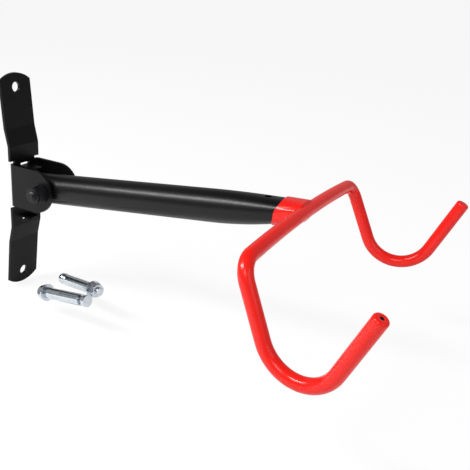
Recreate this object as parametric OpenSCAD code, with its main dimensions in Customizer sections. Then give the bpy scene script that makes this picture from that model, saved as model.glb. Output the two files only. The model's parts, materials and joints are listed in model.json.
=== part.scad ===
// Folding wall rack for two bicycles.
// Frame: X runs along the wall, -Y points from the wall into the room, +Z is up.
// The origin is midway between the two anchor holes of the bracket, at the middle of their
// depth. The wall is hole_out behind it.
// The arm is drawn in a frame of its own, level and with the pivot axis as its origin,
// and is then lifted by arm_rise.

/* [Bracket] */
// Distance between the two anchor holes
hole_spacing = 210; // [180:1:260]
// Diameter of each anchor hole
hole_d = 10.5; // [8:0.1:13]
// Width of the bracket's strip
strip_w = 42; // [40:0.5:60]
// Thickness of the bracket's sheet
sheet_t = 3; // [2:0.1:4]
// From an anchor hole's centre to the tip of its tab
tip_margin = 14.5; // [12:0.5:25]
// Half the height of the flat web that carries the ears
web_half = 45; // [44:0.5:55]
// Height over which each tab steps back towards the wall
joggle_run = 18.5; // [12:0.5:25]
// How far each tab steps back
joggle_depth = 4.5; // [2:0.1:8]
// Angle by which each tab leans back to the wall
tab_lean = 5.5; // [0:0.5:8]
// Radius of the arc at each tab's tip
tip_r = 34; // [31:0.5:60]

/* [Ears] */
// Height of the two ears
ear_h = 46; // [40:0.5:54]
// From the web's middle plane to the pivot axis
pivot_reach = 42; // [41:0.5:60]
// From the pivot axis to the front of the ears
ear_nose = 14.4; // [13:0.1:22]
// Height of the pivot axis above the middle of the bracket
pivot_up = 3.5; // [0:0.5:6]
// Inside radius of the ears' bends
bend_r = 2; // [1:0.5:3]
// Height of the relief notch at each end of a bend
notch_h = 3; // [2:0.5:5]
// Depth of the relief notch, from the edge of the strip
notch_w = 6.5; // [5.5:0.5:9]

/* [Tongues] */
// Width of the two tongues
tongue_w = 12.4; // [8:0.1:16]
// Thickness of the two tongues
tongue_t = 2.7; // [2:0.1:4]
// How far the upper tongue stands out in front of the web
upper_tongue_l = 19; // [12:0.5:19.5]
// How far the lower tongue stands out in front of the web
lower_tongue_l = 12.5; // [6:0.5:16]
// Depth of the lower tongue's top face below the pivot axis
lower_tongue_drop = 37.8; // [36:0.1:38.5]
// Open height that each slot leaves beside its tongue
slot_gap = 3.1; // [1:0.1:4]

/* [Pivot] */
// Diameter of the pivot bolt
bolt_d = 10; // [8:0.5:12]
// Length of the bolt under its head
bolt_l = 60; // [57:1:70]
// Width across flats of the bolt's head and nut
hex_af = 17; // [15:0.5:19]
// Height of the bolt's head
head_h = 6.4; // [5:0.1:8]
// Height of the nut's hexagon
nut_h = 8; // [6:0.1:10]
// Height of the nut's collar, which holds the locking ring
nut_collar_h = 2.2; // [1.5:0.1:3]
// Outside diameter of the pivot's washers
washer_d = 20; // [18:0.5:22]
// Thickness of the pivot's washers
washer_t = 2; // [1:0.1:2.5]
// Outside diameter of the bush that is fixed in the arm
bush_d = 15; // [14:0.5:18]
// Radial play between the bolt and what turns on it
run_gap = 0.05; // [0.02:0.01:0.09]
// Gap between the arm's bush and each ear
side_gap = 0.3; // [0.2:0.05:0.6]

/* [Arm] */
// Outside diameter of the arm's tube
tube_d = 32; // [28:0.5:34]
// Wall of the arm's tube
tube_wall = 2; // [1.5:0.1:3]
// From the pivot axis to the crossbar's axis
arm_l = 290; // [240:1:360]
// From the pivot axis back to the root end of the tube
root_l = 33; // [26:0.5:35]
// Angle by which the arm rises in its drawn position
arm_rise = 7.5; // [7.5:0.5:12]
// Length over which the tube's end is pressed flat
press_l = 95; // [60:1:110]
// Height of the pressed end at the crossbar
press_h = 15; // [15:0.5:22]
// Width of the pressed end at the crossbar
press_w = 30; // [26:0.5:36]
// Diameter of the vent hole in the top of the pressed end
vent_d = 7; // [5:0.5:9]
// From the crossbar's axis back to the vent hole
vent_back = 36; // [34:1:45]

/* [Hooks] */
// Diameter of the steel rod
rod_d = 10; // [8:0.5:11]
// Thickness of the vinyl coating
coat_t = 1.25; // [1:0.05:1.6]
// Height of the crossbar's axis above the tube's axis
cross_up = 3.5; // [0:0.1:3.6]
// From the middle of the crossbar to the start of each top bend
cross_half = 109; // [80:1:140]
// Angle by which the bowed crossbar droops at its ends
bow = 4; // [1:0.5:6]
// Radius of the bends at the top of the hooks, to the rod's axis
top_r = 18; // [14:0.5:24]
// Straight length of each hook's descending leg
down_l = 44.5; // [30:0.5:70]
// Radius of the bends at the bottom of the hooks, to the rod's axis
bottom_r = 34.5; // [26:0.5:44]
// Straight length of each hook's rising leg
up_l = 57; // [35:0.5:80]
// Angle of each leg from the middle of its hook
leg_angle = 24.5; // [15:0.5:32]
// Angle by which each hook turns out from the arm's direction
toe_out = 10; // [0:0.5:16]
// Distance that the coating reaches back along the tube from the crossbar's axis
dip_l = 30; // [24:0.5:32]
// Thickness of the coating over each rod end
cap_t = 2; // [1.5:0.1:3]
// Diameter of the hole in each coated tip
tip_hole_d = 3.4; // [2:0.1:4]

/* [Anchors] */
// Diameter of each anchor's sleeve
sleeve_d = 12; // [11:0.5:12]
// Length of each anchor's sleeve
sleeve_l = 52; // [35:1:62]
// Diameter of each anchor's stud
stud_d = 8; // [6:0.1:8.4]
// Width across flats of each anchor's nut
anchor_af = 13; // [12:0.5:14]
// Height of each anchor's nut
anchor_nut_h = 6.5; // [5:0.1:7.5]
// Diameter of each anchor's flat washer
anchor_washer_d = 18; // [16:0.5:20]
// Length of each anchor's cone
cone_l = 9; // [7:0.5:12]
// Diameter of each cone's end
cone_d = 12; // [11:0.1:12]

/* [Hidden] */
$fn = 64;
eps = 0.01;

// Bracket: the sheet's middle plane, given as distances in front of the origin.
tip_z = hole_spacing / 2 + tip_margin;
tab_start_z = web_half + joggle_run;
lean_run = (tip_z - tab_start_z) * tan(tab_lean);
tab_out = sheet_t / 2 / cos(tab_lean);
hole_out = tab_out + tip_margin * tan(tab_lean);
web_out = tab_out + lean_run + joggle_depth - hole_out;
web_front = web_out + sheet_t / 2;
web_back = web_out - sheet_t / 2;

// Pivot, in the bracket's frame.
pivot_out = web_out + pivot_reach;
ear_outer = strip_w / 2;
ear_inner = ear_outer - sheet_t;
pivot_hole_r = bolt_d / 2 + run_gap;

// Tongues: the upper one lies on the tube when the arm is level.
stop_gap = 0.1;
slot_side_gap = 0.1;
upper_tongue_z = pivot_up + tube_d / 2 + stop_gap;
lower_tongue_z = pivot_up - lower_tongue_drop - tongue_t;

// Pivot hardware along X, from the near (nut) side to the far (head) side.
bush_l = 2 * (ear_inner - side_gap);
side_washer_gap = 0.15;
side_washer_t = ear_inner - side_gap - tube_d / 2 - side_washer_gap;
side_washer_x = tube_d / 2 + side_washer_gap;
side_washer_d = bush_d + 9;
head_x = ear_outer + washer_t;
bolt_end_x = head_x - bolt_l;
nut_x = -ear_outer - washer_t;
bolt_point = 0.7;
head_round_d = hex_af * 1.14;
collar_lip = 0.5;
nut_end_x = nut_x - nut_h - nut_collar_h;

// Hooks: unit directions in the arm's frame, for the hook at side s (-1 or 1).
function tip_forward(v) = [
    v.x,
    v.y * cos(arm_rise) - v.z * sin(arm_rise),
    v.y * sin(arm_rise) + v.z * cos(arm_rise)
];
function bow_dir(s) = [s * cos(bow), 0, -sin(bow)];
function down_dir(s) = tip_forward([
    s * sin(leg_angle) * sin(toe_out), -sin(leg_angle) * cos(toe_out), -cos(leg_angle)
]);
function up_dir(s) = tip_forward([
    s * sin(leg_angle) * sin(toe_out), -sin(leg_angle) * cos(toe_out), cos(leg_angle)
]);
function turn(u, v) = acos(u * v);

bow_r = cross_half / sin(bow);
cross_mid = [0, -arm_l, cross_up];
function bow_end(s) = cross_mid + [s * cross_half, 0, -bow_r * (1 - cos(bow))];
function tangent_l(u, v, r) = r * tan(turn(u, v) / 2);
function top_corner(s) = bow_end(s) + bow_dir(s) * tangent_l(bow_dir(s), down_dir(s), top_r);
function down_start(s) = top_corner(s) + down_dir(s) * tangent_l(bow_dir(s), down_dir(s), top_r);
function down_end(s) = down_start(s) + down_dir(s) * down_l;
function bottom_corner(s) = down_end(s) + down_dir(s) * tangent_l(down_dir(s), up_dir(s), bottom_r);
function up_start(s) = bottom_corner(s) + up_dir(s) * tangent_l(down_dir(s), up_dir(s), bottom_r);
function up_end(s) = up_start(s) + up_dir(s) * up_l;

// Stations of the rod's path, each [place, direction], from the middle out to a tip.
cross_steps = 4;
top_steps = 6;
bottom_steps = 10;
function bow_station(s, a) = [
    cross_mid + [s * bow_r * sin(a), 0, -bow_r * (1 - cos(a))],
    [s * cos(a), 0, -sin(a)]
];
function bend_station(corner, u, v, r, share) =
    let (
        inward = cross(cross(u, v), u) / norm(cross(u, v)),
        start = corner - u * tangent_l(u, v, r),
        a = turn(u, v) * share
    )
        [start + inward * r * (1 - cos(a)) + u * r * sin(a), u * cos(a) + inward * sin(a)];
function hook_path(s) = concat(
    [for (i = [1:cross_steps]) bow_station(s, bow * i / cross_steps)],
    [
        for (i = [1:top_steps])
            bend_station(top_corner(s), bow_dir(s), down_dir(s), top_r, i / top_steps)
    ],
    [
        for (i = [0:bottom_steps])
            bend_station(bottom_corner(s), down_dir(s), up_dir(s), bottom_r, i / bottom_steps)
    ]
);
function backwards(path) = [for (i = [len(path) - 1:-1:0]) [path[i][0], -path[i][1]]];
function tip_station(s, past) = [up_end(s) + up_dir(s) * past, s * up_dir(s)];

// The whole path from tip to tip, where the end stations carry how far past the rod they lie.
function rod_path(past) = concat(
    [for (i = [len(past) - 1:-1:0]) tip_station(-1, past[i])],
    backwards(hook_path(-1)),
    [bow_station(1, 0)],
    hook_path(1),
    [for (p = past) tip_station(1, p)]
);
function unit(v) = v / norm(v);

// Ring normals that follow the path without twisting.
function normals(path, k = 0, n = [0, 1, 0]) =
    k == len(path)
        ? []
        : let (m = unit(n - path[k][1] * (n * path[k][1])))
            concat([m], normals(path, k + 1, m));
rod_sides = 16;
function rod_rings(path, radii) =
    let (n = normals(path))
        [
            for (k = [0:len(path) - 1])
                [
                    for (i = [0:rod_sides - 1])
                        let (a = 360 * i / rod_sides, d = path[k][1])
                            path[k][0] + radii[k] * (n[k] * cos(a) + cross(d, n[k]) * sin(a))
                ]
        ];
coat_d = rod_d + 2 * coat_t;

// Pressed end of the tube.
press_start = arm_l - press_l;
press_steps = 8;
press_sides = 48;
function press_share(y) = pow(max(0, (y - press_start) / press_l), 2);
function press_half_h(y, grow) = (tube_d + (press_h - tube_d) * press_share(y)) / 2 + grow;
function press_half_w(y, grow) = (tube_d + (press_w - tube_d) * press_share(y)) / 2 + grow;
// The pressed end drifts up to the crossbar's height.
function press_mid(y) = cross_up * press_share(y);
// A flattened ring is squarer than an ellipse, so its exponent grows with the pressing.
squareness = 0.25;
function press_power(y) = 1 - squareness * press_share(y);
function signed_pow(v, p) = sign(v) * pow(abs(v), p);
function press_ring(y, grow) = [
    for (i = [0:press_sides - 1])
        let (a = 360 * i / press_sides, p = press_power(y))
            [
                press_half_w(y, grow) * signed_pow(cos(a), p),
                -y,
                press_mid(y) + press_half_h(y, grow) * signed_pow(sin(a), p)
            ]
];

// Anchors: place of each nut's outer end, and the way each anchor points.
anchor_rest_tilt = 11;
anchor_near_at = [-41, -65, -98];
anchor_near_turn = -8;
anchor_far_at = [-25, -132, -85];
anchor_far_turn = 162;
stud_tip = 3;
anchor_washer_t = 1.6;
spring_washer_t = 1.8;
spring_washer_gap = 1.2;
thread_gap = 0.05;
sleeve_gap = 0.1;
sleeve_wall = (sleeve_d - stud_d) / 2 - sleeve_gap;
sleeve_slit = 0.8;
stud_chamfer = 0.6;
cone_gap = 0.4;
sleeve_start = stud_tip + anchor_nut_h + spring_washer_t + anchor_washer_t;

// ---- helpers ----

// Draws its child, which lies along +Z, from p along the unit direction d.
module along(p, d) {
    translate(p)
        rotate([0, acos(d.z), atan2(d.y, d.x)])
            children();
}

// A ring or rod along X, from x0 to x1.
module x_rod(d, x0, x1) {
    translate([x0, 0, 0])
        rotate([0, 90, 0])
            cylinder(d = d, h = x1 - x0);
}

module x_hexagon(af, x0, x1) {
    translate([x0, 0, 0])
        rotate([0, 90, 0])
            cylinder(d = af / cos(30), h = x1 - x0, $fn = 6);
}

// Moves its children from the arm's frame to the bracket's frame.
module on_arm() {
    translate([0, -pivot_out, pivot_up])
        rotate([-arm_rise, 0, 0])
            children();
}

module at_pivot() {
    translate([0, -pivot_out, pivot_up])
        children();
}

// ---- bracket ----

// Side view of the strip: web, joggles and leaning tabs, y out from the wall, z up.
function half_profile(side) = [
    [tab_out - hole_out + side * tab_out, tip_z],
    [tab_out - hole_out + lean_run + side * tab_out, tab_start_z],
    [web_out + side * sheet_t / 2, web_half]
];
function mirrored(points) = [for (i = [len(points) - 1:-1:0]) [points[i].x, -points[i].y]];

module strip_side() {
    front = half_profile(1);
    back = half_profile(-1);
    polygon(concat(front, mirrored(front), back_order(back)));
}
function back_order(back) = concat(
    [for (p = back) [p.x, -p.y]],
    [for (i = [len(back) - 1:-1:0]) back[i]]
);

// Front view of the strip: straight sides and an arc at each tip.
module strip_front() {
    intersection() {
        square([strip_w, 2 * tip_z], center = true);
        translate([0, tip_z - tip_r])
            circle(r = tip_r, $fn = 128);
    }
    intersection() {
        square([strip_w, 2 * tip_z], center = true);
        translate([0, tip_r - tip_z])
            circle(r = tip_r, $fn = 128);
    }
    square([strip_w, 2 * (tip_z - tip_r)], center = true);
}

module strip() {
    intersection() {
        rotate([90, 0, -90])
            translate([0, 0, -strip_w / 2])
                linear_extrude(strip_w)
                    strip_side();
        rotate([90, 0, 0])
            translate([0, 0, -10])
                linear_extrude(web_front + 20)
                    strip_front();
    }
}

// Plan view of the web between its two ears, with rounded bends.
module rounded_u(half_w, back_y, r, front_y) {
    for (s = [-1, 1])
        translate([s * (half_w - r), -back_y - r])
            circle(r = r);
    translate([-half_w + r, -front_y])
        square([2 * (half_w - r), front_y - back_y]);
    translate([-half_w, -front_y])
        square([2 * half_w, front_y - back_y - r]);
}

module ear_outline() {
    nose_r = ear_h / 2;
    translate([-pivot_out - ear_nose + nose_r, 0])
        circle(r = nose_r, $fn = 128);
    translate([-pivot_out - ear_nose + nose_r, -ear_h / 2])
        square([pivot_out + ear_nose - nose_r - web_back, ear_h]);
}

module ears() {
    front_y = pivot_out + ear_nose + 1;
    translate([0, 0, pivot_up])
        intersection() {
            translate([0, 0, -ear_h / 2])
                linear_extrude(ear_h)
                    difference() {
                        rounded_u(ear_outer, web_back, bend_r + sheet_t, front_y);
                        rounded_u(ear_inner, web_front, bend_r, front_y + 1);
                    }
            rotate([90, 0, 90])
                translate([0, 0, -strip_w / 2 - 1])
                    linear_extrude(strip_w + 2)
                        ear_outline();
        }
}

// The strip loses its square corners where the ears bend away from it.
module bend_clearance() {
    for (s = [-1, 1])
        translate([s * (ear_outer - notch_w / 2), -web_out, pivot_up])
            cube([notch_w + eps, 2 * sheet_t + 1, ear_h + 2 * notch_h], center = true);
}

module tongue_slot(z0) {
    translate([-tongue_w / 2 - slot_side_gap, -web_front - 1, z0])
        cube([tongue_w + 2 * slot_side_gap, sheet_t + 2, tongue_t + slot_gap]);
}

module wall_bracket() {
    color("#1c1c1e")
        difference() {
            union() {
                difference() {
                    strip();
                    bend_clearance();
                }
                ears();
            }
            for (z = [-hole_spacing / 2, hole_spacing / 2])
                translate([0, 0, z])
                    rotate([90, 0, 0])
                        cylinder(d = hole_d, h = 4 * sheet_t, center = true);
            at_pivot()
                x_rod(2 * pivot_hole_r, -ear_outer - 1, ear_outer + 1);
            tongue_slot(upper_tongue_z);
            tongue_slot(lower_tongue_z - slot_gap);
        }
}

// A flat tongue whose tail fills the foot of its slot.
module tongue(z0, reach) {
    translate([-tongue_w / 2, -web_front - reach, z0])
        cube([tongue_w, reach + sheet_t, tongue_t]);
}

module upper_tongue() {
    color("#1c1c1e")
        tongue(upper_tongue_z, upper_tongue_l);
}

module lower_tongue() {
    color("#1c1c1e")
        tongue(lower_tongue_z, lower_tongue_l);
}

// Fillet welds on the sides of the tongues that face away from the open slots.
weld_leg = 2;
module tongue_weld(z, dir) {
    translate([-tongue_w / 2 + 1, -web_front, z])
        rotate([90, 0, 90])
            linear_extrude(tongue_w - 2)
                polygon([[0, 0], [-weld_leg, 0], [0, dir * weld_leg]]);
}

module tongue_welds() {
    color("#232325") {
        tongue_weld(lower_tongue_z + tongue_t, 1);
        for (s = [-1, 1])
            translate([s * tongue_w / 2, -web_front, upper_tongue_z + 0.3])
                linear_extrude(tongue_t - 0.6)
                    polygon([[0, 0], [0, -weld_leg], [s * weld_leg, 0]]);
    }
}

// ---- pivot ----

module pivot_bolt() {
    color("#1a1a1a")
        at_pivot() {
            x_rod(bolt_d - 2 * bolt_point, bolt_end_x, bolt_end_x + 1);
            x_rod(bolt_d, bolt_end_x + bolt_point, head_x);
            intersection() {
                x_hexagon(hex_af, head_x, head_x + head_h);
                translate([head_x, 0, 0])
                    rotate([0, 90, 0])
                        cylinder(d1 = head_round_d, d2 = head_round_d - 2.4, h = head_h);
            }
        }
}

module pivot_washer(x0) {
    at_pivot()
        difference() {
            x_rod(washer_d, x0, x0 + washer_t);
            x_rod(bolt_d + 2 * run_gap, x0 - 1, x0 + washer_t + 1);
        }
}

module head_washer() {
    color("#222224")
        pivot_washer(ear_outer);
}

module nut_washer() {
    color("#222224")
        pivot_washer(-ear_outer - washer_t);
}

// The collar turns in over the ring that grips the thread.
ring_id = bolt_d + 2 * run_gap;
ring_od = hex_af - 4;
module pivot_nut() {
    color("#1f1f21")
        at_pivot()
            difference() {
                union() {
                    x_hexagon(hex_af, nut_x - nut_h, nut_x);
                    x_rod(hex_af - 1, nut_end_x, nut_x);
                }
                x_rod(ring_id, nut_end_x - 1, nut_x + 1);
                x_rod(ring_od, nut_end_x + collar_lip, nut_x - nut_h);
            }
}

module nut_locking_ring() {
    color("#3a3f4a")
        at_pivot()
            difference() {
                x_rod(ring_od, nut_end_x + collar_lip, nut_x - nut_h);
                x_rod(ring_id, nut_end_x - 1, nut_x + 1);
            }
}

module pivot_bush() {
    color("#8a8d90")
        on_arm()
            difference() {
                x_rod(bush_d, -bush_l / 2, bush_l / 2);
                x_rod(bolt_d + 2 * run_gap, -bush_l, bush_l);
            }
}

module side_washers() {
    color("#2b2b2d")
        on_arm()
            for (s = [-1, 1])
                translate([s * (side_washer_x + side_washer_t / 2), 0, 0])
                    difference() {
                        x_rod(side_washer_d, -side_washer_t / 2, side_washer_t / 2);
                        x_rod(bush_d + 2 * run_gap, -side_washer_t, side_washer_t);
                    }
}

// ---- arm ----

// Solid between rings of points, each ring turning about the way the rings advance.
module skin(rings) {
    n = len(rings[0]);
    last = (len(rings) - 1) * n;
    polyhedron(
        points = [for (ring = rings) each ring],
        faces = concat(
            [[for (i = [0:n - 1]) i]],
            [[for (i = [n - 1:-1:0]) last + i]],
            [
                for (k = [0:len(rings) - 2])
                    for (i = [0:n - 1])
                        let (a = k * n + i, b = k * n + (i + 1) % n)
                            each [[a, a + n, b], [b, a + n, b + n]]
            ]
        )
    );
}

// Solid of the pressed end, from station y0 to the crossbar's axis, grown outwards by grow.
module pressed_end(y0, grow) {
    skin([for (i = [0:press_steps]) press_ring(y0 + (arm_l - y0) * i / press_steps, grow)]);
}

// Solid envelope of the tube: round to the start of the pressing, then pressed.
// It runs past both ends by past.
module tube_body(grow, past) {
    pressed = [for (i = [0:press_steps]) press_start + press_l * i / press_steps];
    ends = past > 0 ? [arm_l + past] : [];
    skin([for (y = concat([-root_l - past], pressed, ends)) press_ring(y, grow)]);
}

module arm_tube() {
    color("#18181a")
        on_arm()
            difference() {
                tube_body(0, 0);
                tube_body(-tube_wall, 1);
                x_rod(bush_d, -tube_d, tube_d);
                steel_path();
                translate([0, -arm_l + vent_back, 0])
                    cylinder(d = vent_d, h = tube_d);
            }
}

// Steel rod, bent from one length: hook, crossbar, hook.
module steel_path() {
    path = rod_path([0]);
    skin(rod_rings(path, [for (p = path) rod_d / 2]));
}

module hook_rod() {
    color("#9b9da0")
        on_arm()
            steel_path();
}

// Weld metal that fills the mouth of the pressed end above and below the rod.
weld_depth = rod_d / 2 - 1;
module rod_welds() {
    color("#7d7f82")
        on_arm()
            difference() {
                intersection() {
                    tube_body(-tube_wall, 1);
                    translate([-tube_d, -arm_l, -tube_d / 2])
                        cube([2 * tube_d, weld_depth, tube_d]);
                }
                steel_path();
            }
}

// Outer face of the coating along the rod, with its tips rounded off past the rod's ends.
tip_r_steps = 4;
tip_round = 2.4;
module coating_path() {
    rounding = [for (i = [0:tip_r_steps]) 90 * i / tip_r_steps];
    past = [for (a = rounding) cap_t - tip_round * (1 - sin(a))];
    path = rod_path(past);
    last = len(path) - 1;
    function inset(k) = k <= tip_r_steps ? tip_r_steps - k : max(0, k - last + tip_r_steps);
    skin(rod_rings(path, [
        for (k = [0:last]) coat_d / 2 - tip_round * (1 - cos(90 * inset(k) / tip_r_steps))
    ]));
}

module vinyl_coating() {
    color("#e2231f")
        on_arm()
            difference() {
                union() {
                    pressed_end(arm_l - dip_l, coat_t);
                    translate([0, -arm_l + eps, 0])
                        mouth_skin();
                    coating_path();
                }
                tube_body(0, 0);
                steel_path();
                for (s = [-1, 1])
                    along(up_end(s), up_dir(s))
                        cylinder(d = tip_hole_d, h = cap_t + 1);
            }
}

// Skin over the mouth of the pressed end.
module mouth_skin() {
    rotate([90, 0, 0])
        linear_extrude(coat_t)
            polygon([for (p = press_ring(arm_l, coat_t)) [p.x, p.z]]);
}

// ---- anchors ----

// Lays its children, which point along +Z from the nut's end, on the resting slope.
module each_anchor() {
    translate(anchor_near_at)
        rotate([-anchor_rest_tilt, 0, anchor_near_turn])
            rotate([90, 0, 0])
                children();
    translate(anchor_far_at)
        rotate([-anchor_rest_tilt, 0, 0])
            rotate([0, 0, anchor_far_turn])
                rotate([90, 0, 0])
                    children();
}

module anchor_stud() {
    cone_start = sleeve_start + sleeve_l + cone_gap;
    cylinder(d1 = stud_d - 2 * stud_chamfer, d2 = stud_d, h = stud_chamfer);
    translate([0, 0, stud_chamfer - eps])
        cylinder(d = stud_d, h = cone_start - stud_chamfer + 2 * eps);
    translate([0, 0, cone_start])
        cylinder(d1 = stud_d, d2 = cone_d, h = cone_l * 0.6);
    translate([0, 0, cone_start + cone_l * 0.6 - eps])
        cylinder(d = cone_d, h = cone_l * 0.4);
}

module anchor_studs() {
    color("#c9d0d6")
        each_anchor()
            anchor_stud();
}

module anchor_sleeves() {
    color("#c4ccd2")
        each_anchor()
            translate([0, 0, sleeve_start])
                difference() {
                    cylinder(d = sleeve_d, h = sleeve_l);
                    translate([0, 0, -1])
                        cylinder(r = sleeve_d / 2 - sleeve_wall, h = sleeve_l + 2);
                    for (a = [45, 135])
                        rotate([0, 0, a])
                            translate([-sleeve_d, -sleeve_slit / 2, sleeve_l * 0.45])
                                cube([2 * sleeve_d, sleeve_slit, sleeve_l]);
                }
}

module anchor_washers() {
    color("#cfd5da")
        each_anchor()
            translate([0, 0, sleeve_start - anchor_washer_t])
                difference() {
                    cylinder(d = anchor_washer_d, h = anchor_washer_t);
                    translate([0, 0, -1])
                        cylinder(d = stud_d + 2 * sleeve_gap, h = anchor_washer_t + 2);
                }
}

module anchor_spring_washers() {
    color("#b9c0c6")
        each_anchor()
            translate([0, 0, stud_tip + anchor_nut_h])
                difference() {
                    cylinder(d = anchor_af, h = spring_washer_t);
                    translate([0, 0, -1])
                        cylinder(d = stud_d + 2 * sleeve_gap, h = spring_washer_t + 2);
                    translate([0, -spring_washer_gap / 2, -1])
                        cube([anchor_af, spring_washer_gap, spring_washer_t + 2]);
                }
}

module anchor_nuts() {
    color("#cfd5da")
        each_anchor()
            translate([0, 0, stud_tip])
                difference() {
                    intersection() {
                        cylinder(d = anchor_af / cos(30), h = anchor_nut_h, $fn = 6);
                        cylinder(d1 = anchor_af * 0.98, d2 = anchor_af * 1.7, h = anchor_nut_h);
                    }
                    translate([0, 0, -1])
                        cylinder(d = stud_d + 2 * thread_gap, h = anchor_nut_h + 2);
                }
}

wall_bracket();
upper_tongue();
lower_tongue();
tongue_welds();
pivot_bolt();
head_washer();
nut_washer();
pivot_nut();
nut_locking_ring();
pivot_bush();
side_washers();
arm_tube();
hook_rod();
rod_welds();
vinyl_coating();
anchor_studs();
anchor_sleeves();
anchor_washers();
anchor_spring_washers();
anchor_nuts();
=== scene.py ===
import json
import math

import bmesh
import bpy
from mathutils import Matrix, Vector


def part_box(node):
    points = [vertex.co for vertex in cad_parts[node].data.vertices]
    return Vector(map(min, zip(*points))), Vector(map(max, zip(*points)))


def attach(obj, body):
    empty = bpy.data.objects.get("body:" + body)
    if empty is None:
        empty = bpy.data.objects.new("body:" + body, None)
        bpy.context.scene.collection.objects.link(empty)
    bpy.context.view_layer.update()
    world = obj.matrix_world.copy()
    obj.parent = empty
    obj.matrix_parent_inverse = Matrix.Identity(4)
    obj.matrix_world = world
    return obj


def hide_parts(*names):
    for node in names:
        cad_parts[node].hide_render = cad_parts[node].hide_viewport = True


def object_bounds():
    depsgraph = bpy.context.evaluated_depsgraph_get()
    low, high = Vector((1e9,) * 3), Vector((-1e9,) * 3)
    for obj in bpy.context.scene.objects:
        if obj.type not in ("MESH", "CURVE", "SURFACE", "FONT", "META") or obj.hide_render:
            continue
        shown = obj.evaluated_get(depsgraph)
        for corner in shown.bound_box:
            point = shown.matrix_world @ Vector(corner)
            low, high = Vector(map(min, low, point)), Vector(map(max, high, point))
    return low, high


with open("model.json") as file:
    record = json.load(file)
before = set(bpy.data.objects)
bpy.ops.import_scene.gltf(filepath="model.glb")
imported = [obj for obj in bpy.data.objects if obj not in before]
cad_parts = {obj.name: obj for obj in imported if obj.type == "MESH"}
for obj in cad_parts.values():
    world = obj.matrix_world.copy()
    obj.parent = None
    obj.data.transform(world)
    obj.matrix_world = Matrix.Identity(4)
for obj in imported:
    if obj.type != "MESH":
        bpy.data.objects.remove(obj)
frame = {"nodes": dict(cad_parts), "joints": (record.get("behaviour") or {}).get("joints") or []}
cad_low, cad_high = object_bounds()


# ---------------------------------------------------------------------------
# Sheet bracket: 3 mm steel, laser cut and bent into a web with two ears and
# two stepped tabs, with a tongue set in each slot. It is powder coated black
# after welding, so the coat runs over edges and welds alike.
# ---------------------------------------------------------------------------
MM = 0.001


def linear(hex_colour):
    """An sRGB hex colour as the linear colour that a shader socket takes."""
    channels = [int(hex_colour[i:i + 2], 16) / 255 for i in (1, 3, 5)]
    return [c / 12.92 if c <= 0.04045 else ((c + 0.055) / 1.055) ** 2.4 for c in channels] + [1.0]


def node(tree, kind, settings=None, links=None):
    """Adds a shader node. Settings are its properties or input values, and links join its inputs."""
    made = tree.nodes.new(kind)
    for key, value in (settings or {}).items():
        if isinstance(key, str) and hasattr(made, key):
            setattr(made, key, value)
        else:
            made.inputs[key].default_value = value
    for key, socket in (links or {}).items():
        tree.links.new(socket, made.inputs[key])
    return made


def finish_of(name):
    """A new material, with its tree, its Principled shader and the object's own coordinates."""
    material = bpy.data.materials.new(name)
    material.use_nodes = True
    tree = material.node_tree
    place = node(tree, "ShaderNodeTexCoord").outputs["Object"]
    return material, tree, tree.nodes["Principled BSDF"], place


def mottle(tree, place, size_mm, low, high, detail=3.0):
    """Noise whose blotches are size_mm across, spread from low to high."""
    fineness = {"Scale": 1 / (size_mm * MM), "Detail": detail}
    blotch = node(tree, "ShaderNodeTexNoise", fineness, {"Vector": place}).outputs["Fac"]
    return node(tree, "ShaderNodeMapRange", {"To Min": low, "To Max": high}, {"Value": blotch}).outputs[0]


def two_tone(tree, amount, dark, light):
    """A colour between two hex colours."""
    ramp = node(tree, "ShaderNodeValToRGB", None, {"Fac": amount})
    ramp.color_ramp.elements[0].color = linear(dark)
    ramp.color_ramp.elements[1].color = linear(light)
    return ramp.outputs["Color"]


def relief(tree, height, depth_mm, strength=1.0):
    """Bump of a real depth."""
    depth = {"Distance": depth_mm * MM, "Strength": strength}
    return node(tree, "ShaderNodeBump", depth, {"Height": height}).outputs[0]


def powder_coat(name, dark, light, roughness, grain_mm, gloss):
    """Baked polyester powder: its orange peel breaks up reflections into a soft satin glow."""
    material, tree, shader, place = finish_of(name)
    tone = mottle(tree, place, 14, 0.0, 1.0)
    tree.links.new(two_tone(tree, tone, dark, light), shader.inputs["Base Color"])
    tree.links.new(mottle(tree, place, 5, roughness - 0.04, roughness + 0.05), shader.inputs["Roughness"])
    peel = mottle(tree, place, grain_mm, 0.0, 1.0, 1.0)
    tree.links.new(relief(tree, peel, 0.0025), shader.inputs["Normal"])
    shader.inputs["IOR"].default_value = 1.42
    shader.inputs["Specular IOR Level"].default_value = gloss
    return material


def dress(name, material, edge_mm=0.0):
    """Gives a carried-over node its finish, with its edges broken by a small round."""
    piece = frame["nodes"][name]
    piece.data.materials.clear()
    piece.data.materials.append(material)
    if edge_mm:
        edge = piece.modifiers.new("broken edge", "BEVEL")
        edge.width = edge_mm * MM
        edge.segments = 2
        edge.limit_method = "ANGLE"
        edge.angle_limit = math.radians(40)
        edge.harden_normals = True
    return piece


bracket_coat = powder_coat("black powder coat on sheet steel", "#060607", "#0e0e0f", 0.34, 0.9, 0.2)
dress("wall_bracket", bracket_coat, 0.4)
dress("upper_tongue", bracket_coat, 0.3)
dress("lower_tongue", bracket_coat, 0.3)
dress("tongue_welds", bracket_coat, 0.3)


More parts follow.
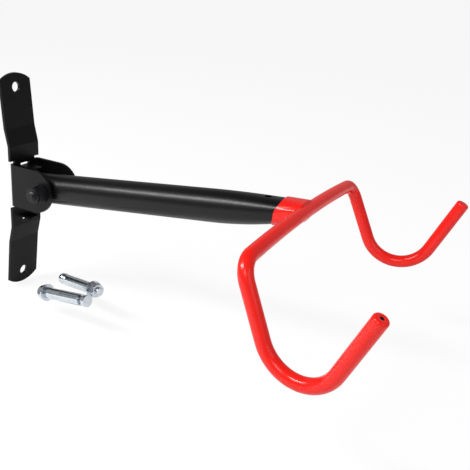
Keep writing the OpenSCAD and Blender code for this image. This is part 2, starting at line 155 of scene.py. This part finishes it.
# ---------------------------------------------------------------------------
# Pivot: an M10 bolt through both ears and the arm's bush, with a washer
# under its head and its nut. They are chemically blackened steel, which is
# dull, with a little metal showing through.
# ---------------------------------------------------------------------------
BOLT_R = 5.0
BOLT_PITCH = 1.5
BOLT_AF = 17.0
HEAD_H = 6.4
HEAD_CHAMFER = 1.2
THREAD_L = 26.0
THREAD_DEPTH = 0.61 * BOLT_PITCH
THREAD_RUNOUT = 0.2
POINT_CHAMFER = 0.9
HEAD_CORNER_R = 0.57 * BOLT_AF
HEAD_SEAT = 0.01
BOLT_SIDES = 96
THREAD_STEPS = round(12 * THREAD_L / BOLT_PITCH)
HEAD_STEPS = 12


def black_oxide():
    """Blackened steel: a thin dark oxide that lets some metal shine through."""
    material, tree, shader, place = finish_of("black oxide steel")
    tone = mottle(tree, place, 3, 0.0, 1.0)
    tree.links.new(two_tone(tree, tone, "#101012", "#26262a"), shader.inputs["Base Color"])
    tree.links.new(mottle(tree, place, 1.5, 0.34, 0.48), shader.inputs["Roughness"])
    tree.links.new(relief(tree, mottle(tree, place, 0.7, 0.0, 1.0), 0.02), shader.inputs["Normal"])
    shader.inputs["Metallic"].default_value = 0.6
    return material


oxide = black_oxide()
for part in ("head_washer", "nut_washer", "pivot_nut"):
    dress(part, oxide, 0.25)


def mesh_piece(name, points, faces, material):
    """A new smooth-shaded object from points in metres and faces."""
    mesh = bpy.data.meshes.new(name)
    mesh.from_pydata([tuple(p) for p in points], [], faces)
    mesh.validate()
    skin = bmesh.new()
    skin.from_mesh(mesh)
    bmesh.ops.recalc_face_normals(skin, faces=skin.faces)
    skin.to_mesh(mesh)
    skin.free()
    mesh.materials.append(material)
    piece = bpy.data.objects.new(name, mesh)
    bpy.context.scene.collection.objects.link(piece)
    for face in mesh.polygons:
        face.use_smooth = True
    return piece


def tube_of_rings(rings, capped=True):
    """Points and faces of a tube through rings that all have as many points."""
    n = len(rings[0])
    points = [p for ring in rings for p in ring]
    faces = []
    for k in range(len(rings) - 1):
        for i in range(n):
            j = (i + 1) % n
            faces.append((k * n + i, k * n + j, (k + 1) * n + j, (k + 1) * n + i))
    if capped:
        faces.append(tuple(reversed(range(n))))
        faces.append(tuple(range((len(rings) - 1) * n, len(rings) * n)))
    return points, faces


def bolt_radius(z, turn, length_mm):
    """The bolt's radius at a height from its point and a share of a turn: thread, shank, then head."""
    head_start = length_mm - HEAD_H
    if z > head_start:
        to_flat = (turn * 360) % 60 - 30
        chamfer = HEAD_CORNER_R - HEAD_CHAMFER * max(0.0, (z - head_start) / HEAD_H) ** 3
        return min(BOLT_AF / 2 / math.cos(math.radians(to_flat)), chamfer)
    if z > THREAD_L:
        return BOLT_R
    phase = (z / BOLT_PITCH - turn) % 1
    return min(BOLT_R - THREAD_DEPTH * abs(2 * phase - 1), BOLT_R - POINT_CHAMFER + z)


def bolt_rings(place, length_mm):
    """Rings along place's own Z, from the threaded point to the top of the head."""
    head_start = length_mm - HEAD_H
    heights = [THREAD_L * k / THREAD_STEPS for k in range(THREAD_STEPS + 1)]
    heights += [THREAD_L + THREAD_RUNOUT, head_start, head_start + HEAD_SEAT]
    heights += [head_start + HEAD_H * k / HEAD_STEPS for k in range(1, HEAD_STEPS + 1)]
    rings = []
    for z in heights:
        ring = []
        for i in range(BOLT_SIDES):
            a = 2 * math.pi * i / BOLT_SIDES
            r = bolt_radius(z, i / BOLT_SIDES, length_mm)
            ring.append(place @ (Vector((r * math.cos(a), r * math.sin(a), z)) * MM))
        rings.append(ring)
    return rings


pivot = Vector(frame["joints"][0]["pos_m"])
bolt_low, bolt_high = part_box("pivot_bolt")
bolt_place = Matrix.Translation((bolt_low.x, pivot.y, pivot.z)) @ Matrix.Rotation(math.radians(90), 4, "Y")
bolt_length = (bolt_high.x - bolt_low.x) / MM
bolt = mesh_piece("pivot_bolt_cut", *tube_of_rings(bolt_rings(bolt_place, bolt_length)), oxide)
bolt.data.set_sharp_from_angle(angle=math.radians(30))
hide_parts("pivot_bolt")
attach(bolt, "bracket")


# ---------------------------------------------------------------------------
# Nylon ring in the nut, and the slim side washers that keep the arm off the
# ears. Moulded nylon, matte and slightly waxy.
# ---------------------------------------------------------------------------
def nylon():
    """Moulded nylon: matte, with slightly paler patches."""
    material, tree, shader, place = finish_of("moulded nylon")
    tone = mottle(tree, place, 2, 0.0, 1.0)
    tree.links.new(two_tone(tree, tone, "#1d2027", "#2b2f38"), shader.inputs["Base Color"])
    tree.links.new(mottle(tree, place, 1, 0.45, 0.6), shader.inputs["Roughness"])
    shader.inputs["IOR"].default_value = 1.53
    return material


ring_nylon = nylon()
dress("nut_locking_ring", ring_nylon, 0.1)
dress("side_washers", ring_nylon, 0.1)


# ---------------------------------------------------------------------------
# Bush, rod and weld metal: plain drawn steel. All of it is inside the arm or
# under the coating, and only the bush's ends can be glimpsed.
# ---------------------------------------------------------------------------
def drawn_steel():
    """Drawn mild steel: grey, with duller and brighter patches."""
    material, tree, shader, place = finish_of("drawn mild steel")
    tone = mottle(tree, place, 2, 0.0, 1.0)
    tree.links.new(two_tone(tree, tone, "#84868a", "#a4a6aa"), shader.inputs["Base Color"])
    tree.links.new(mottle(tree, place, 0.8, 0.28, 0.42), shader.inputs["Roughness"])
    shader.inputs["Metallic"].default_value = 1.0
    return material


bare_steel = drawn_steel()
for part in ("pivot_bush", "hook_rod", "rod_welds"):
    dress(part, bare_steel)


# ---------------------------------------------------------------------------
# Arm: 32 mm welded steel tube, its outer end pressed to a bill that grips the
# crossbar. It has a vent hole in its upper wall. Satin black powder coat.
# ---------------------------------------------------------------------------
TUBE_R = 16.0
TUBE_WALL = 2.0
ROOT_L = 33.0
ARM_L = 290.0
PRESS_L = 95.0
PRESS_H = 15.0
PRESS_W = 30.0
SQUARENESS = 0.25
CROSS_UP = 3.5
VENT_R = 3.5
VENT_BACK = 36.0
DRILL_L = 30.0
DRILL_UP = 17.0
PRESS_STEPS = 32
ARM_RISE = math.radians(7.5)

arm_place = Matrix.Translation(pivot) @ Matrix.Rotation(-ARM_RISE, 4, "X")


def pressing(y):
    """How far the pressing has gone at a distance from the pivot, from 0 to 1."""
    return max(0.0, (y - (ARM_L - PRESS_L)) / PRESS_L) ** 2


def press_ring(y, grow, sides=96):
    """The tube's outline at a distance from the pivot, grown outwards."""
    share = pressing(y)
    half_h = TUBE_R + (PRESS_H / 2 - TUBE_R) * share + grow
    half_w = TUBE_R + (PRESS_W / 2 - TUBE_R) * share + grow
    power = 1 - SQUARENESS * share
    ring = []
    for i in range(sides):
        a = 2 * math.pi * i / sides
        c, s = math.cos(a), math.sin(a)
        x = half_w * math.copysign(abs(c) ** power, c)
        z = CROSS_UP * share + half_h * math.copysign(abs(s) ** power, s)
        ring.append(arm_place @ (Vector((x, -y, z)) * MM))
    return ring


def arm_tube():
    """Outside and inside of the tube as one skin, joined by a rim at each end."""
    press_start = ARM_L - PRESS_L
    stations = [-ROOT_L, 0, press_start]
    stations += [press_start + PRESS_L * i / PRESS_STEPS for i in range(1, PRESS_STEPS + 1)]
    edge = 0.3
    outside = [press_ring(-ROOT_L, -edge), press_ring(-ROOT_L + edge, 0)]
    outside += [press_ring(y, 0) for y in stations[1:]]
    inside = [press_ring(y, -TUBE_WALL) for y in reversed(stations)]
    points, faces = tube_of_rings(outside + inside, capped=False)
    n = len(outside[0])
    last = (len(outside) + len(inside) - 1) * n
    for i in range(n):
        j = (i + 1) % n
        faces.append((last + i, last + j, j, i))
    return points, faces


tube_coat = powder_coat("black powder coat on tube", "#060607", "#0d0d0e", 0.32, 1.1, 0.35)
tube = mesh_piece("arm_tube_shell", *arm_tube(), tube_coat)
bpy.ops.mesh.primitive_cylinder_add(vertices=48, radius=VENT_R * MM, depth=DRILL_L * MM)
drill = bpy.context.object
drill.matrix_world = arm_place @ Matrix.Translation((0, (VENT_BACK - ARM_L) * MM, DRILL_UP * MM))
vent = tube.modifiers.new("vent hole", "BOOLEAN")
vent.object = drill
vent.solver = "EXACT"
bpy.context.view_layer.update()
cut = bpy.data.meshes.new_from_object(tube.evaluated_get(bpy.context.evaluated_depsgraph_get()))
tube.modifiers.clear()
tube.data = cut
bpy.data.objects.remove(drill)
tube.data.set_sharp_from_angle(angle=math.radians(35))
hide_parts("arm_tube")
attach(tube, "arm")


# ---------------------------------------------------------------------------
# Vinyl dip: the welded crossbar and hooks, and the last of the tube, are
# heated and dipped in red plastisol. It flows round the welds, stands a
# little proud of the tube and leaves a drain hole in each tip.
# ---------------------------------------------------------------------------
COAT = 1.25
ROD_R = 5.0
COAT_R = ROD_R + COAT
CROSS_HALF = 109.0
BOW = math.radians(4)
TOP_R = 18.0
DOWN_L = 44.5
BOTTOM_R = 34.5
UP_L = 57.0
LEG_ANGLE = math.radians(24.5)
TOE_OUT = math.radians(10)
CAP = 2.0
TIP_HOLE_R = 1.7
TIP_ROUND = 2.4
TIP_WELL = 1.9
WELL_EDGE = 0.35
BOW_STEPS = 16
TOP_STEPS = 20
BOTTOM_STEPS = 32
TIP_STEPS = 8
ROD_SIDES = 40


def leg(side, rise):
    """Direction, in the arm's frame, of a hook's falling (-1) or rising (1) leg, angled from the wall."""
    flat = Vector((
        side * math.sin(LEG_ANGLE) * math.sin(TOE_OUT),
        -math.sin(LEG_ANGLE) * math.cos(TOE_OUT),
        rise * math.cos(LEG_ANGLE),
    ))
    return Matrix.Rotation(ARM_RISE, 3, "X") @ flat


def bend(corner, u, v, radius, steps):
    """Stations [place, direction] round a bend from direction u to v."""
    angle = u.angle(v)
    inward = u.cross(v).cross(u).normalized()
    start = corner - u * radius * math.tan(angle / 2)
    stations = []
    for k in range(steps + 1):
        a = angle * k / steps
        place = start + inward * radius * (1 - math.cos(a)) + u * radius * math.sin(a)
        stations.append((place, u * math.cos(a) + inward * math.sin(a)))
    return stations


def hook_stations(side):
    """Stations from the crossbar's middle out to the rod's end, in the arm's frame."""
    bow_radius = CROSS_HALF / math.sin(BOW)
    middle = Vector((0, -ARM_L, CROSS_UP))
    stations = []
    for k in range(1, BOW_STEPS + 1):
        a = BOW * k / BOW_STEPS
        place = middle + Vector((side * bow_radius * math.sin(a), 0, -bow_radius * (1 - math.cos(a))))
        stations.append((place, Vector((side * math.cos(a), 0, -math.sin(a)))))
    out, down, up = stations[-1][1], leg(side, -1), leg(side, 1)
    corner = stations[-1][0] + out * TOP_R * math.tan(out.angle(down) / 2)
    top = bend(corner, out, down, TOP_R, TOP_STEPS)
    foot = top[-1][0] + down * (DOWN_L + BOTTOM_R * math.tan(down.angle(up) / 2))
    bottom = bend(foot, down, up, BOTTOM_R, BOTTOM_STEPS)
    stations += top[1:] + bottom
    end = bottom[-1][0] + up * UP_L
    return stations, end, up


def ring_at(place, direction, normal, radius, sides):
    """A ring of points square to a direction."""
    other = direction.cross(normal)
    turns = [2 * math.pi * i / sides for i in range(sides)]
    return [place + radius * (normal * math.cos(a) + other * math.sin(a)) for a in turns]


def tip_stations(end, up):
    """Rounded rim and drain hole of a dipped tip, as [place, direction, radius]."""
    rim = []
    for k in range(TIP_STEPS + 1):
        a = math.pi / 2 * k / TIP_STEPS
        forward = CAP - TIP_ROUND * (1 - math.sin(a))
        rim.append((end + up * forward, up, COAT_R - TIP_ROUND * (1 - math.cos(a))))
    rim.append((end + up * CAP, up, TIP_HOLE_R + WELL_EDGE))
    rim.append((end + up * (CAP - WELL_EDGE), up, TIP_HOLE_R))
    rim.append((end + up * (CAP - TIP_WELL), up, TIP_HOLE_R))
    return rim


def dipped_rod():
    """Points and faces of the coating along the rod from tip to tip."""
    left, left_end, left_up = hook_stations(-1)
    right, right_end, right_up = hook_stations(1)
    path = [(p, -d, r) for p, d, r in reversed(tip_stations(left_end, left_up))]
    path += [(p, -d, COAT_R) for p, d in reversed(left)]
    path.append((Vector((0, -ARM_L, CROSS_UP)), Vector((1, 0, 0)), COAT_R))
    path += [(p, d, COAT_R) for p, d in right]
    path += tip_stations(right_end, right_up)
    normal = Vector((0, 1, 0))
    rings = []
    for place, direction, radius in path:
        normal = (normal - direction * normal.dot(direction)).normalized()
        rings.append([arm_place @ (p * MM) for p in ring_at(place, direction, normal, radius, ROD_SIDES)])
    return tube_of_rings(rings)


# The skin over the tube: how far back it reaches, its waves and runs, and how its mouth is drawn in.
DIP_L = 30.0
DIP_SLANT = 9.0
LONG_WAVE = 0.5
SHORT_WAVE = 0.3
DIP_UNDER = 0.4
DIP_EDGE = 0.35
RUNS = 11
RUN_HEIGHT = 0.16
MOUTH_FORWARD = 1.2
MOUTH_DRAW = 3.4
BILL_SIDES = 96
BILL_STEPS = 40
MOUTH_STEPS = 3


def dip_line(angle):
    """How far the dip reaches back from the crossbar: a wavy line that is shortest on the tube's top."""
    slant = DIP_SLANT * (1 + math.sin(angle)) / 2
    reach = DIP_L - (LONG_WAVE + SHORT_WAVE) - slant
    return reach + LONG_WAVE * math.sin(2 * angle + 0.6) + SHORT_WAVE * math.sin(5 * angle)


def dipped_bill():
    """Coating over the pressed end: a wavy back edge, faint runs, and a mouth rounded in to the crossbar."""
    rings = []
    for k in range(-2, BILL_STEPS + MOUTH_STEPS + 1):
        share = min(max(k / BILL_STEPS, 0.0), 1.0)
        round_in = math.pi / 2 * max(0, k - BILL_STEPS) / MOUTH_STEPS
        edge = {-2: -DIP_UNDER, -1: 0.6 * COAT}.get(k, COAT)
        ring = []
        for i in range(BILL_SIDES):
            a = 2 * math.pi * i / BILL_SIDES
            back = ARM_L - dip_line(a)
            y = back + (ARM_L - back) * share + DIP_EDGE * (k == 0) + MOUTH_FORWARD * math.sin(round_in)
            ridge = RUN_HEIGHT * math.sin(RUNS * a + 1.3) * math.sin(math.pi * share)
            ridge *= 0.5 + 0.5 * math.sin(3 * a)
            grow = edge + ridge * (k > 0) - MOUTH_DRAW * (1 - math.cos(round_in))
            ring.append(press_ring(y, grow, BILL_SIDES)[i])
        rings.append(ring)
    return tube_of_rings(rings)


# The thick place at the weld: its half length, how far back and out it swells, and how its ends sink.
SADDLE_HALF = 24.0
SADDLE_BACK = 1.6
SADDLE_SWELL = 0.65
SADDLE_UNDER = 0.25
SADDLE_STEPS = 16
SADDLE_SIDES = 48


def saddle():
    """Thickened coating where the bill meets the crossbar, fading into the rod on both sides."""
    rings = []
    for k in range(-SADDLE_STEPS, SADDLE_STEPS + 1):
        x = k / SADDLE_STEPS * SADDLE_HALF
        swell = 0.5 * (1 + math.cos(math.pi * k / SADDLE_STEPS))
        place = Vector((x, -ARM_L + SADDLE_BACK * swell, CROSS_UP))
        radius = COAT_R - SADDLE_UNDER + SADDLE_SWELL * swell
        ring = ring_at(place, Vector((1, 0, 0)), Vector((0, 1, 0)), radius, SADDLE_SIDES)
        rings.append([arm_place @ (p * MM) for p in ring])
    return tube_of_rings(rings)


def plastisol():
    """Dipped PVC: a deep gloss with slow waves left by the flow, and broad darker patches."""
    material, tree, shader, place = finish_of("red dipped vinyl")
    depth = mottle(tree, place, 26, 0.0, 1.0)
    tree.links.new(two_tone(tree, depth, "#d4120b", "#e62016"), shader.inputs["Base Color"])
    tree.links.new(mottle(tree, place, 6, 0.17, 0.26), shader.inputs["Roughness"])
    waves = mottle(tree, place, 11, 0.0, 1.0, 0.0)
    tree.links.new(relief(tree, waves, 0.3, 0.5), shader.inputs["Normal"])
    shader.inputs["IOR"].default_value = 1.53
    shader.inputs["Specular IOR Level"].default_value = 0.3
    return material


vinyl = plastisol()
shells = [mesh_piece(n, *made, vinyl) for n, made in (
    ("vinyl_dip", dipped_rod()), ("bill_dip", dipped_bill()), ("saddle_dip", saddle()))]
for shell in shells:
    shell.data.set_sharp_from_angle(angle=math.radians(50))
    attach(shell, "arm")
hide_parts("vinyl_coating")


def painted_drain_shade():
    """Painted shade inside a drain hole, over its wall and down to the rod's oily end: nearly black, since
    little light gets in.
    """
    material, tree, shader, place = finish_of("painted shade in a drain hole")
    tone = mottle(tree, place, 1, 0.0, 1.0)
    tree.links.new(two_tone(tree, tone, "#0c0504", "#1d0a08"), shader.inputs["Base Color"])
    shader.inputs["Roughness"].default_value = 0.6
    return material


# The faces of the two wells are the first and last of the rod's skin, and its two end caps; they get the
# near-black painted shade.
shells[0].data.materials.append(painted_drain_shade())
skin_faces = shells[0].data.polygons
for face in list(skin_faces[:ROD_SIDES]) + list(skin_faces[-ROD_SIDES - 2:]):
    face.material_index = 1


# ---------------------------------------------------------------------------
# Wall anchors: M8 sleeve anchors, turned and pressed from steel, then bright
# zinc plated with a clear bluish passivate. They lie loose by the bracket.
# ---------------------------------------------------------------------------
def zinc_plate():
    """Bright zinc: bluish mirror-like metal with dull patches. Its grain is drawn coarse enough to show."""
    material, tree, shader, place = finish_of("bright zinc plate")
    tone = mottle(tree, place, 4, 0.0, 1.0)
    tree.links.new(two_tone(tree, tone, "#a9b3bd", "#e2e8ed"), shader.inputs["Base Color"])
    tree.links.new(mottle(tree, place, 2, 0.12, 0.26), shader.inputs["Roughness"])
    tree.links.new(relief(tree, mottle(tree, place, 0.8, 0.0, 1.0), 0.012), shader.inputs["Normal"])
    shader.inputs["Metallic"].default_value = 1.0
    return material


zinc = zinc_plate()
for part in ("anchor_studs", "anchor_sleeves", "anchor_washers", "anchor_spring_washers", "anchor_nuts"):
    dress(part, zinc, 0.2)


# ---------------------------------------------------------------------------
# Floor, backdrop, lights and camera. None of it is part of the object.
# ---------------------------------------------------------------------------
def pale_floor():
    """A matte white sheet that the camera sees as white, with the object's shadow left in it."""
    material, tree, shader, _ = finish_of("white floor sheet")
    shader.inputs["Base Color"].default_value = linear("#f4f4f4")
    shader.inputs["Roughness"].default_value = 0.9
    shader.inputs["Specular IOR Level"].default_value = 0.0
    glow = node(tree, "ShaderNodeEmission", {"Color": (1, 1, 1, 1), "Strength": 1.0})
    to_camera = node(tree, "ShaderNodeLightPath").outputs["Is Camera Ray"]
    share = node(tree, "ShaderNodeMath", {"operation": "MULTIPLY", 1: 0.86}, {0: to_camera})
    mixed = node(tree, "ShaderNodeMixShader", None, {0: share.outputs[0]})
    tree.links.new(shader.outputs[0], mixed.inputs[1])
    tree.links.new(glow.outputs[0], mixed.inputs[2])
    tree.links.new(mixed.outputs[0], tree.nodes["Material Output"].inputs["Surface"])
    return material


FLOOR_DROP = 2.0
floor_z = cad_low.z - FLOOR_DROP * MM
bpy.ops.mesh.primitive_plane_add(size=80, location=(0, 0, floor_z))
floor = bpy.context.object
floor.name = "floor"
floor.data.materials.append(pale_floor())

world = bpy.data.worlds.new("studio")
bpy.context.scene.world = world
world.use_nodes = True
air = world.node_tree
air.nodes.clear()
ray = node(air, "ShaderNodeLightPath")
height = node(air, "ShaderNodeSeparateXYZ", None, {0: node(air, "ShaderNodeTexCoord").outputs["Generated"]})
room = node(air, "ShaderNodeValToRGB", None, {"Fac": height.outputs["Z"]})
# What gloss sees from the horizon up: grey walls, brighter a third of the way up, and a dark ceiling.
ROOM_GREYS = ((0.0, 0.25), (0.35, 0.4), (0.6, 0.25), (0.82, 0.08), (1.0, 0.05))
stops = room.color_ramp.elements
for spot, _ in ROOM_GREYS[1:-1]:
    stops.new(spot)
for stop, (_, grey) in zip(stops, ROOM_GREYS):
    stop.color = (grey, grey, grey, 1)
dim = node(air, "ShaderNodeBackground", {"Color": (1, 1, 1, 1), "Strength": 0.5})
glossy = node(air, "ShaderNodeBackground", {"Strength": 1.0}, {"Color": room.outputs["Color"]})
white = node(air, "ShaderNodeBackground", {"Color": (1, 1, 1, 1), "Strength": 1.0})
lit = node(air, "ShaderNodeMixShader", None, {
    0: ray.outputs["Is Glossy Ray"], 1: dim.outputs[0], 2: glossy.outputs[0]})
both = node(air, "ShaderNodeMixShader", None, {
    0: ray.outputs["Is Camera Ray"], 1: lit.outputs[0], 2: white.outputs[0]})
air.links.new(both.outputs[0], node(air, "ShaderNodeOutputWorld").inputs[0])


def softbox(name, place, target, size, power):
    """A square area lamp aimed at a point."""
    lamp = bpy.data.lights.new(name, "AREA")
    lamp.size = size
    lamp.energy = power
    piece = bpy.data.objects.new(name, lamp)
    bpy.context.scene.collection.objects.link(piece)
    piece.location = place
    piece.rotation_mode = "QUATERNION"
    piece.rotation_quaternion = (Vector(target) - Vector(place)).to_track_quat("-Z", "Y")


middle = (cad_low + cad_high) / 2
softbox("key", (-1.3, -0.5, 1.1), middle, 0.6, 6)
softbox("fill", (-0.4, -1.6, 0.7), middle, 0.9, 3)

# A long strip beside the arm draws the bright streak along the tube.
STRIP_PLACE = Vector((-0.75, 0.6, 0.93))
strip = bpy.data.lights.new("strip", "AREA")
strip.shape = "RECTANGLE"
strip.size = 1.0
strip.size_y = 0.2
strip.energy = 21
strip_piece = bpy.data.objects.new("strip", strip)
bpy.context.scene.collection.objects.link(strip_piece)
away = Vector((STRIP_PLACE.x, 0, STRIP_PLACE.z)).normalized()
along = Vector((0, 1, 0))
strip_turn = Matrix((along, away.cross(along), away)).transposed().to_4x4()
strip_piece.matrix_world = Matrix.Translation(STRIP_PLACE) @ strip_turn

# The camera stands at the near side and in front, a little above, with a slight roll.
CAMERA_PLACE = Vector((-525.6, -526.6, 234.9)) * MM
CAMERA_AZIMUTH = math.radians(-64.0)
CAMERA_ELEVATION = math.radians(21.43)
CAMERA_ROLL = math.radians(4.73)
CAMERA_LENS = 51.27
camera = bpy.data.objects.new("camera", bpy.data.cameras.new("camera"))
bpy.context.scene.collection.objects.link(camera)
camera.data.lens = CAMERA_LENS
camera.data.sensor_width = 36
back = Vector((
    math.sin(CAMERA_AZIMUTH) * math.cos(CAMERA_ELEVATION),
    -math.cos(CAMERA_AZIMUTH) * math.cos(CAMERA_ELEVATION),
    math.sin(CAMERA_ELEVATION),
))
level_right = Vector((0, 0, 1)).cross(back).normalized()
level_up = back.cross(level_right)
right = level_right * math.cos(CAMERA_ROLL) + level_up * math.sin(CAMERA_ROLL)
up = level_up * math.cos(CAMERA_ROLL) - level_right * math.sin(CAMERA_ROLL)
camera.matrix_world = Matrix.Translation(CAMERA_PLACE) @ Matrix((right, up, back)).transposed().to_4x4()
bpy.context.scene.camera = camera
bpy.context.scene.view_settings.view_transform = "Standard"
